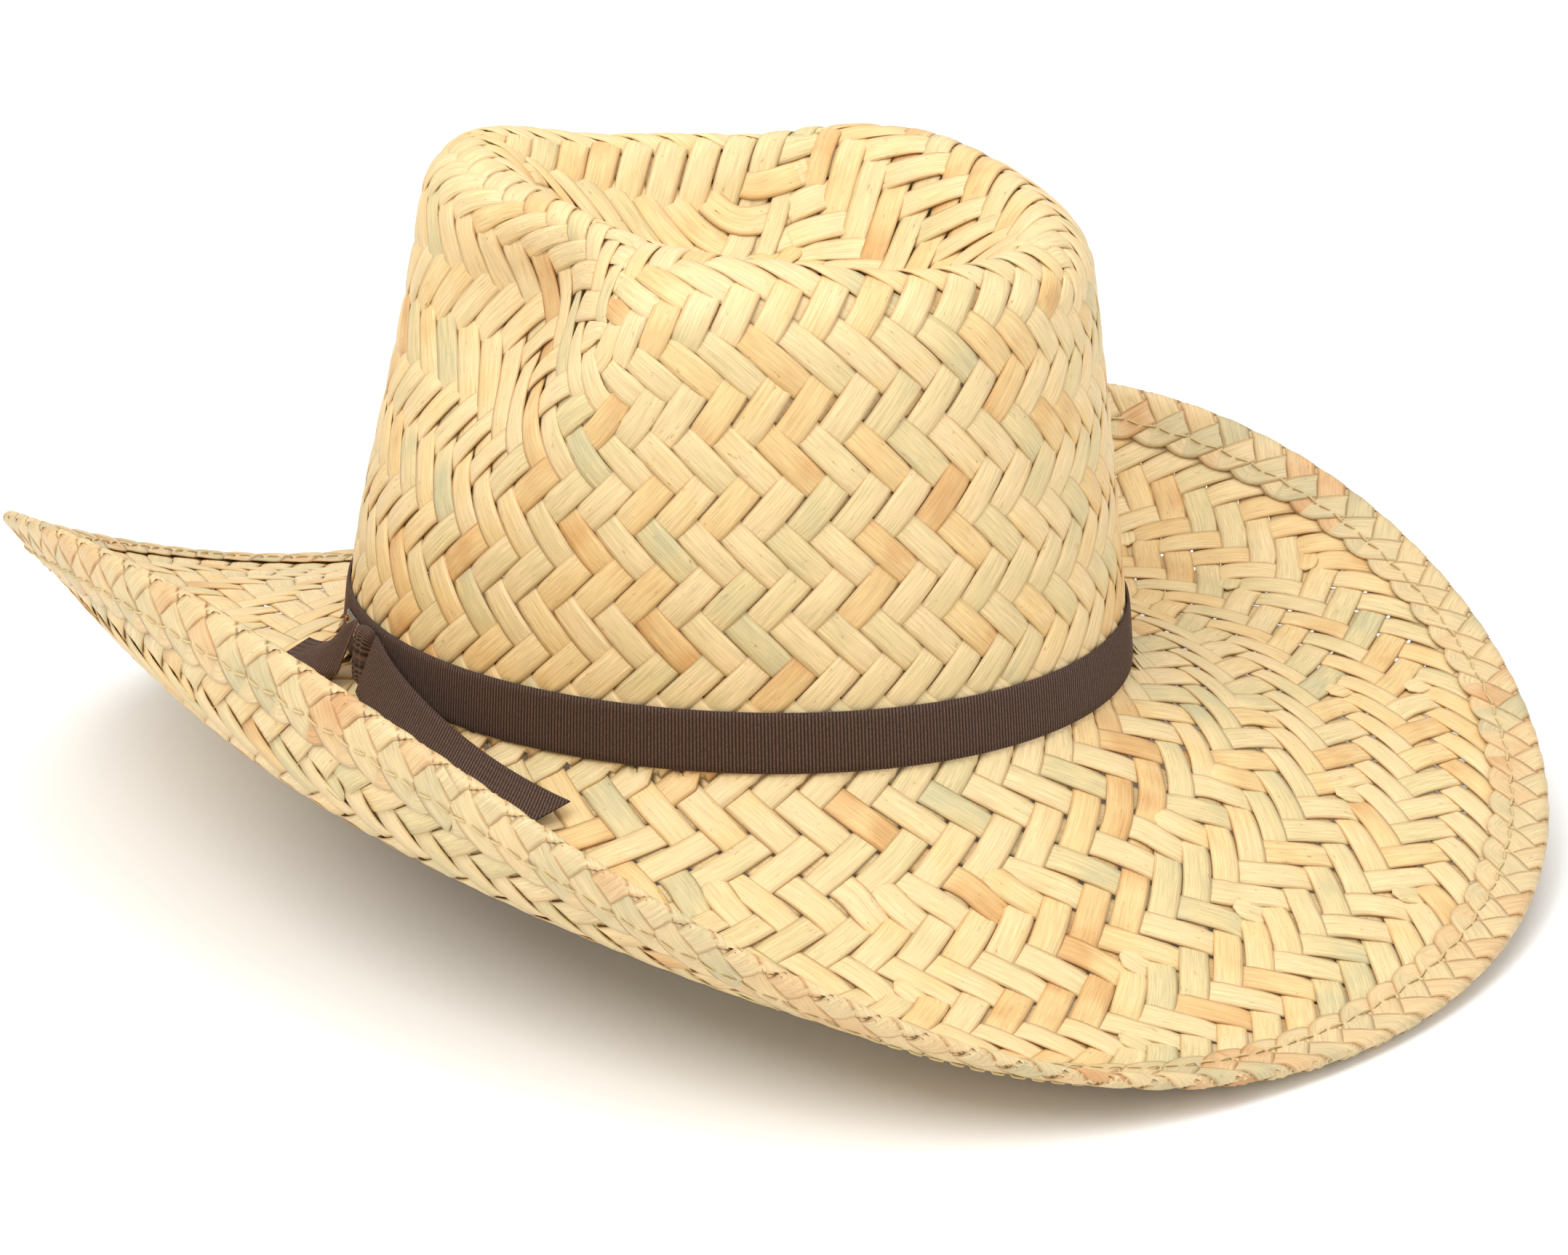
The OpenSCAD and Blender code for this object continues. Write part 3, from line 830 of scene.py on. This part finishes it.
def edge_plait():
    """Five strands, over one and under one. Each runs zigzag across the fold and moves half a pitch along
    the edge between one crossing and the next."""
    rng = np.random.default_rng(11)
    pitches = 108
    pitch = EDGE_RUN / pitches
    lines = np.array([-13.0, -9.2, -3.1, 3.1, 9.2, 13.0])
    t = np.arange(-1, 2 * pitches + 2)
    zigzag = np.abs((t[None] + 2 * np.arange(5)[:, None]) % 10 - 5)
    x = (t[None] / 2) * pitch + 0 * zigzag
    plan = np.stack([x, lines[5 - zigzag]], -1)
    sub = 5
    centre = curve_through(plan, sub)
    steps = np.arange(centre.shape[1]) / sub
    phase = steps[None] + 2 * np.arange(5)[:, None]
    side = 5 - np.abs(phase % 10 - 5)
    height = 0.33 * np.cos(math.pi * side) * np.where(phase % 10 < 5, 1, -1)
    turning = ease(np.minimum(side, 5 - side) / 0.6)
    height = height * turning
    width = np.full(height.shape, 7.9) * mix(0.8, 1.0, turning)
    spans = rng.beta(2.0, 2.2, (5, 2 * pitches // 5 + 4))
    tone = np.take_along_axis(spans, ((phase + 0.01) // 5).astype(int) % spans.shape[1], 1)
    whole = np.ones(height.shape, bool)
    piece = weave("edge_plait", edge_surface, centre, width, height, whole, tone, thick=0.3, camber=0.1)
    return dress(piece, "hat", edge_straw, "edge_straw", "edge_braid")


def tube(name, path, radius, sides=6):
    """Closed round tubes along rows of points (tubes, stations, 3): circles across each path's tangent,
    with the two ends drawn in."""
    along = unit(np.gradient(path, axis=1))
    side = unit(np.cross(along, [0.0, 0.0, 1.0]))
    up = np.cross(side, along)
    t = np.arange(sides) * 2 * math.pi / sides
    grow = np.ones(path.shape[1])
    grow[[0, -1]] = 0.45
    r = (radius * grow)[None, :, None, None]
    ring = side[:, :, None] * np.cos(t)[:, None] + up[:, :, None] * np.sin(t)[:, None]
    points = path[:, :, None] + ring * r
    tubes, stations = path.shape[:2]
    base = (np.arange(tubes) * stations * sides)[:, None, None]
    quads = (ring_faces(stations, sides)[None] + base).reshape(-1, 4)
    first, last = (end + base[:, 0] for end in ring_ends(stations, sides))
    uv = np.stack(np.broadcast_arrays(t * radius, run_length(path)[..., None]), -1).reshape(-1, 2)
    return add_mesh(name, points.reshape(-1, 3), quads, uv, ends=(first, last))


def edge_stitches(name, face, replaced):
    """Lockstitches 5 mm long on one face of the braid: each dips at both ends, and every other one is set
    a third of a millimetre to the side."""
    count = round(EDGE_RUN / 5)
    f = np.linspace(0, 1, 7)
    a = even_angles(SEAM_INSET, ((np.arange(count)[:, None] + 0.08 + 0.84 * f[None]) / count) % 1.0)[0]
    aside = 0.35 * (-1.0) ** np.arange(count)[:, None] * (2 * f[None] - 1)
    lift = 1.42 - 0.75 * (2 * f - 1) ** 6
    s = brim_width(a) - SEAM_INSET + aside
    path = brim_point(a, s, -STRAW_T / 2 + face * (STRAW_T / 2 + lift[None] + 0 * s))
    piece = tube(name, path, 0.3)
    return dress(piece, "hat", straw_thread, "thread", replaced)


# ---- the ribbon, its knot and tails ----


def wall_point(a, z, skin):
    """Point of the crown's wall at height z, skin mm outside the straw."""
    return crown_point(a, z, 0.0, 0.0, skin)


def even_wall_angles(share):
    """Angles that share out the crown's foot in equal lengths, and its length."""
    return even_shares(lambda a: wall_point(a, 8.0 + 0 * a, RIBBON_OUT), share)


def rib_wave(length):
    """1 on a rib's crest and 0 in the groove beside it: the size of a cosine of the length."""
    return np.abs(np.cos(math.pi * length / RIB))


def hat_ribbon():
    """Band round the crown: a closed section carried round, its outer face ribbed across, its two edges
    scalloped by the same ribs, and its height drifting a little round the hat."""
    length = even_wall_angles(np.zeros(1))[1]
    ribs = int(length / RIB)
    columns = ribs * 5
    share = np.arange(columns) / columns
    a = even_wall_angles(share)[0][:, None]
    run = (share * ribs * RIB)[:, None]
    across = np.concatenate([np.linspace(-1, 1, 9), [1.0, 0.0, -1.0]])[None]
    outer = np.concatenate([np.ones(9), np.zeros(3)])[None]
    crest = rib_wave(run)
    z = RIBBON_Z + RIBBON_W / 2 + across * (RIBBON_W / 2 - 0.1 * (1 - crest))
    z = z + 0.25 * np.sin(3 * a + 1) * (across > 0)
    skin = mix(RIBBON_OUT - RIBBON_T, RIBBON_OUT - 0.17 * (1 - crest), outer) + 0 * z
    round_off = outer * 0.15 * np.abs(across) ** 8
    points = wall_point(a + 0 * z, z, skin - round_off)
    uv = np.stack(np.broadcast_arrays(across * RIBBON_W / 2, run), -1)
    quads = ring_faces(columns, 12, True)
    piece = add_mesh("hatband_grosgrain", points.reshape(-1, 3), quads, uv.reshape(-1, 2))
    return dress(piece, "hat", grosgrain, "grosgrain", "hatband_ribbon"), length


def tail_strip(name, body, a0, a1, s1, node_name, cut):
    """Ribbon tail: stations along the line from the knot to its end, each a flat ribbed section that
    stands on edge at the knot and lies over towards the brim; the end is cut on the slant."""
    half = RIBBON_W / 2
    rough = np.linspace(0, 1, 200)

    def spine(f):
        a = np.radians(mix(a0, a1, f))
        lift = mix(11.0, 3.2, 1 - (1 - np.clip(f, 0, 1)) ** 1.6)
        c = brim_point(a, mix(6.0, s1, f), 0 * f)
        c = c + np.stack([0 * f, 0 * f, lift], -1)
        end = np.radians(a1) + np.zeros(1)
        slope = brim_slope(end, s1 / brim_width(end)) - np.radians(16.0)
        tilt = mix(np.radians(-66.0), slope, ease(f * 1.3))
        return a, c, tilt

    run = run_length(spine(rough)[1])
    ribs = int(run[-1] / RIB)
    rows = ribs * 5
    across = np.concatenate([np.linspace(-1, 1, 9), [1.0, 0.0, -1.0]])
    outer = np.concatenate([np.ones(9), np.zeros(3)])
    f = np.interp(np.linspace(0, run[-1], rows), run, rough)[:, None]
    f = f + (cut * across - abs(cut)) * ease((f - 0.45) / 0.55)
    a, c, tilt = spine(f)
    o = out_dir(a)
    up = np.array([0.0, 0.0, 1.0])
    length = np.interp(f, rough, run)
    crest = rib_wave(length)
    reach = across * (half - 0.1 * (1 - crest))
    wide = o * np.cos(tilt)[..., None] + up * np.sin(tilt)[..., None]
    thick = -o * np.sin(tilt)[..., None] + up * np.cos(tilt)[..., None]
    rise = np.where(outer > 0, 0.4 - 0.17 * (1 - crest), -0.4)
    curl = 0.5 * across**2 * ease(f / 0.3)
    points = c + wide * reach[..., None] + thick * (rise + curl * 0.6)[..., None]
    uv = np.stack([reach, length], -1)
    piece = add_mesh(
        name, points.reshape(-1, 3), ring_faces(rows, 12), uv.reshape(-1, 2), ends=ring_ends(rows, 12)
    )
    dress(piece, body, grosgrain, "grosgrain", node_name)


def wall_frame(angle, z, skin):
    """Place on the crown's wall with its directions along the band, outwards and up."""
    a = np.radians(np.array([angle - 0.5, angle, angle + 0.5]))
    p = wall_point(a, z + 0 * a, skin)
    along = unit(p[2] - p[0])
    high = unit(wall_point(a[1:2], np.array([z + 1.0]), skin)[0] - p[1])
    return p[1], along, unit(np.cross(along, high)), high


def ribbon_knot():
    """The ribbon passed once round the band: a flattened loop, fuller in the middle, pleated in three
    soft folds, with the ribs running across it."""
    centre, along, out, up = wall_frame(KNOT_AT, RIBBON_Z + RIBBON_W / 2, RIBBON_OUT + 0.5 + KNOT_D / 2)
    rows, around = 33, 160
    y = np.linspace(-1, 1, rows)[:, None]
    t = (np.arange(around) * 2 * math.pi / around)[None]
    ends = (1 - np.abs(y) ** 3.5 * 0.45) * np.sqrt(np.maximum(1 - np.abs(y) ** 10, 0.02))
    c, s = np.cos(t), np.sin(t)
    depth = np.sign(c) * np.abs(c) ** 0.75 * (KNOT_D / 2 - 0.1)
    tall = np.sign(s) * np.abs(s) ** 0.6 * (RIBBON_W / 2 + 0.3)
    pleat = 0.28 * np.cos(y * 2.6 * math.pi + 0.5 * s) * np.clip(c, 0, 1)
    crest = 0.07 * np.abs(np.cos(t * 17))
    waist = 1 - 0.16 * np.clip(c, 0, 1) * np.cos(s * math.pi / 2)
    points = (
        centre
        + along * (y * KNOT_W / 2 * waist)[..., None]
        + out * ((depth + pleat - crest * c) * ends)[..., None]
        + up * ((tall - crest * s) * mix(1.0, ends, 0.25))[..., None]
    )
    uv = np.stack(np.broadcast_arrays(y * KNOT_W / 2, t * 17 / math.pi * RIB), -1)
    piece = add_mesh(
        "knot_grosgrain", points.reshape(-1, 3), ring_faces(rows, around), uv.reshape(-1, 2),
        ends=ring_ends(rows, around),
    )
    return dress(piece, "hat", grosgrain, "grosgrain", "ribbon_knot")


def domed_plate(name, angle, z, skin, long_half, high_half, rise, square):
    """Small plate on the band: rings of a superellipse from the middle out, over a rounded edge and back
    under, bent to the band's curve."""
    centre, along, out, up = wall_frame(angle, z, skin)
    t = (np.arange(64) * 2 * math.pi / 64)[None]
    size = np.array([0.02, 0.35, 0.7, 0.88, 0.95, 0.985, 1.0, 1.0, 0.98, 0.5, 0.02])[:, None]
    tall = np.array([1.0, 1.0, 0.98, 0.93, 0.84, 0.7, 0.5, 0.15, 0.0, 0.0, 0.0])[:, None] * rise
    c, s = np.cos(t), np.sin(t)
    x = size * np.sign(c) * np.abs(c) ** square * long_half
    y = size * np.sign(s) * np.abs(s) ** square * high_half
    drop = x**2 / (2 * BAND_BEND)
    points = centre + along * x[..., None] + up * y[..., None] + out * (tall - drop)[..., None]
    return add_mesh(name, points.reshape(-1, 3), ring_faces(len(size), 64), ends=ring_ends(len(size), 64))


def badge():
    """Blank plate on the ribbon with a small domed rivet near each end."""
    plate = domed_plate(
        "badge_plate_blank", BADGE_AT, BADGE_Z, skin=RIBBON_OUT + 0.06, long_half=BADGE_L / 2,
        high_half=BADGE_H / 2, rise=0.72, square=0.4,
    )
    dress(plate, "hat", gunmetal, "dark_metal", "badge_plate")
    rivets = []
    turn = math.degrees(BADGE_L * 0.38 / BAND_BEND)
    for number, side in enumerate((-1, 1)):
        rivet = domed_plate(
            f"badge_rivet_{number + 1}", BADGE_AT + side * turn, BADGE_Z, skin=RIBBON_OUT + 0.74,
            long_half=0.8, high_half=0.8, rise=0.55, square=1.0,
        )
        rivets.append(dress(rivet, "hat", copper, "copper", "badge_rivets"))
    return [plate, *rivets]


# ---- inside the crown ----


def wall_cloth(name, a0, a1, z0, z1, out, thick, columns, rows, ripple=0.0):
    """Cloth against the inside of the crown between two angles and two heights: a closed section of two
    faces carried round, with a slow ripple; it closes on itself when it runs all the way round."""
    whole = a1 - a0 >= 360
    f = np.arange(columns) / (columns if whole else columns - 1)
    a = np.radians(mix(a0, a1, f))[:, None]
    up = np.concatenate([np.linspace(0, 1, rows), np.linspace(1, 0, rows)])[None]
    near = np.concatenate([np.ones(rows), np.zeros(rows)])[None]
    z = mix(z0, z1, up)
    wave = ripple * np.sin(23 * a + 2 * np.sin(5 * a)) * up
    skin = out - thick * (1 - near) - np.maximum(wave, 0) * (up > 0)
    points = wall_point(a + 0 * z, z + 0 * a, skin + 0 * a)
    n = 2 * rows
    uv = np.stack(np.broadcast_arrays(z, a * LINING_R), -1)
    ends = () if whole else ring_ends(columns, n)
    return add_mesh(name, points.reshape(-1, 3), ring_faces(columns, n, whole), uv.reshape(-1, 2), ends=ends)


def band_stitches():
    """Running stitches 3.5 mm long that hold the sweatband 4 mm up from its foot."""
    count = 160
    f = np.linspace(0, 1, 6)
    a = (np.arange(count)[:, None] + 0.1 + 0.75 * f[None]) * 2 * math.pi / count
    skin = BAND_OUT - BAND_T - 0.3 + 0.35 * (2 * f[None] - 1) ** 6 + 0 * a
    piece = tube("sweatband_stitches", wall_point(a, 4.0 + 0 * a, skin), 0.26)
    return dress(piece, "hat", straw_thread, "thread", "sweatband_seam")


def inside_of_crown():
    """Sweatband with its stitches, the tape over its join at the back and a blank label."""
    band = wall_cloth("sweatband_cloth", 0, 360, 0.5, BAND_H, BAND_OUT, BAND_T, 720, 9, 0.25)
    dress(band, "hat", band_cloth, "band_cloth", "sweatband")
    stitches = band_stitches()
    face = BAND_OUT - BAND_T - 0.45
    tape = wall_cloth("join_tape", 85, 90, 6, BAND_H - 1, face, 0.6, 14, 14)
    dress(tape, "hat", tape_cloth, "band_cloth", "sweatband_join_tape")
    label = wall_cloth("blank_label", 95, 110, 10, 24, face, 0.4, 40, 12)
    dress(label, "hat", label_cloth, "label_cloth", "size_label")


# ---- the pieces ----

straw_hat_plait()
edge_plait()
edge_stitches("edge_stitches_upper", 1, "edge_seam_upper")
edge_stitches("edge_stitches_lower", -1, "edge_seam_lower")
ribbon, ribbon_length = hat_ribbon()
knot = ribbon_knot()
badge_pieces = badge()
HALF_KNOT = 3.4  # degrees from the knot's middle to the foot of each tail
tail_strip(
    "tail_long_grosgrain", "long_tail", KNOT_AT + HALF_KNOT, KNOT_AT + 43, 23.0,
    node_name="ribbon_tail_long", cut=-0.075,
)
tail_strip(
    "tail_short_grosgrain", "short_tail", KNOT_AT - HALF_KNOT, KNOT_AT - 17, 17.0,
    node_name="ribbon_tail_short", cut=-0.1,
)
inside_of_crown()

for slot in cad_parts["edge_wire"].material_slots:
    slot.material = wire_steel

# ---- floor, light and camera ----

FLOOR_HALF = 3.0
floor_z = cad_box[0][2] - 0.001
floor_mesh = bpy.data.meshes.new("studio_floor")
corners = [(x * FLOOR_HALF, y * FLOOR_HALF, floor_z) for x, y in ((-1, -1), (1, -1), (1, 1), (-1, 1))]
floor_mesh.from_pydata(corners, [], [(0, 1, 2, 3)])
floor = bpy.data.objects.new("studio_floor", floor_mesh)
bpy.context.scene.collection.objects.link(floor)
floor_paint, _, floor_shader = new_material("matt_white_paper")
# seamless paper: plain and matt, with fibres too fine to show
floor_shader.inputs["Base Color"].default_value = colour("#fbfbfa")
floor_shader.inputs["Roughness"].default_value = 0.95
floor_shader.inputs["Specular IOR Level"].default_value = 0.1
floor.data.materials.append(floor_paint)

world = bpy.data.worlds.new("studio_white")
world.use_nodes = True
world.node_tree.nodes["Background"].inputs["Color"].default_value = (1.0, 1.0, 1.0, 1.0)
world.node_tree.nodes["Background"].inputs["Strength"].default_value = 0.7
bpy.context.scene.world = world


def soft_box(name, place, target, size, watts):
    """Square area light that faces its target."""
    light = bpy.data.lights.new(name, "AREA")
    light.shape = "SQUARE"
    light.size = size
    light.energy = watts
    lamp = bpy.data.objects.new(name, light)
    bpy.context.scene.collection.objects.link(lamp)
    aim = np.array(target) - np.array(place)
    lamp.location = place
    lamp.rotation_euler = look_angles(aim)
    return lamp


def look_angles(aim):
    """Euler angles that turn -Z to the aim with +Y up: tilt from the vertical, then the heading."""
    x, y, z = aim
    return (math.pi / 2 + math.atan2(z, math.hypot(x, y)), 0.0, math.atan2(y, x) - math.pi / 2)


azimuth, elevation, distance = math.radians(113.1), math.radians(21.4), 1.144
toward = np.array(
    [math.sin(azimuth) * math.cos(elevation), -math.cos(azimuth) * math.cos(elevation), math.sin(elevation)]
)
right = np.array([math.cos(azimuth), math.sin(azimuth), 0.0])
soft_box("key_light", toward * 0.9 + right * -0.7 + [0, 0, 1.0], (0, 0, 0.03), 0.9, 16)
soft_box("top_light", [0.0, 0.0, 1.5], (0, 0, 0), 1.2, 10)
soft_box("fill_light", toward * 0.9 + right * 1.1 + [0, 0, 0.3], (0, 0, 0.0), 1.2, 4)

lens = bpy.data.cameras.new("camera")
lens.sensor_width = 36.0
lens.lens = 103.475
lens.shift_x = 0.031076
lens.shift_y = 0.006262
lens.clip_start = 0.05
camera = bpy.data.objects.new("camera", lens)
camera.location = toward * distance
camera.rotation_euler = look_angles(-toward)
bpy.context.scene.collection.objects.link(camera)
bpy.context.scene.camera = camera
bpy.context.scene.view_settings.view_transform = "Standard"
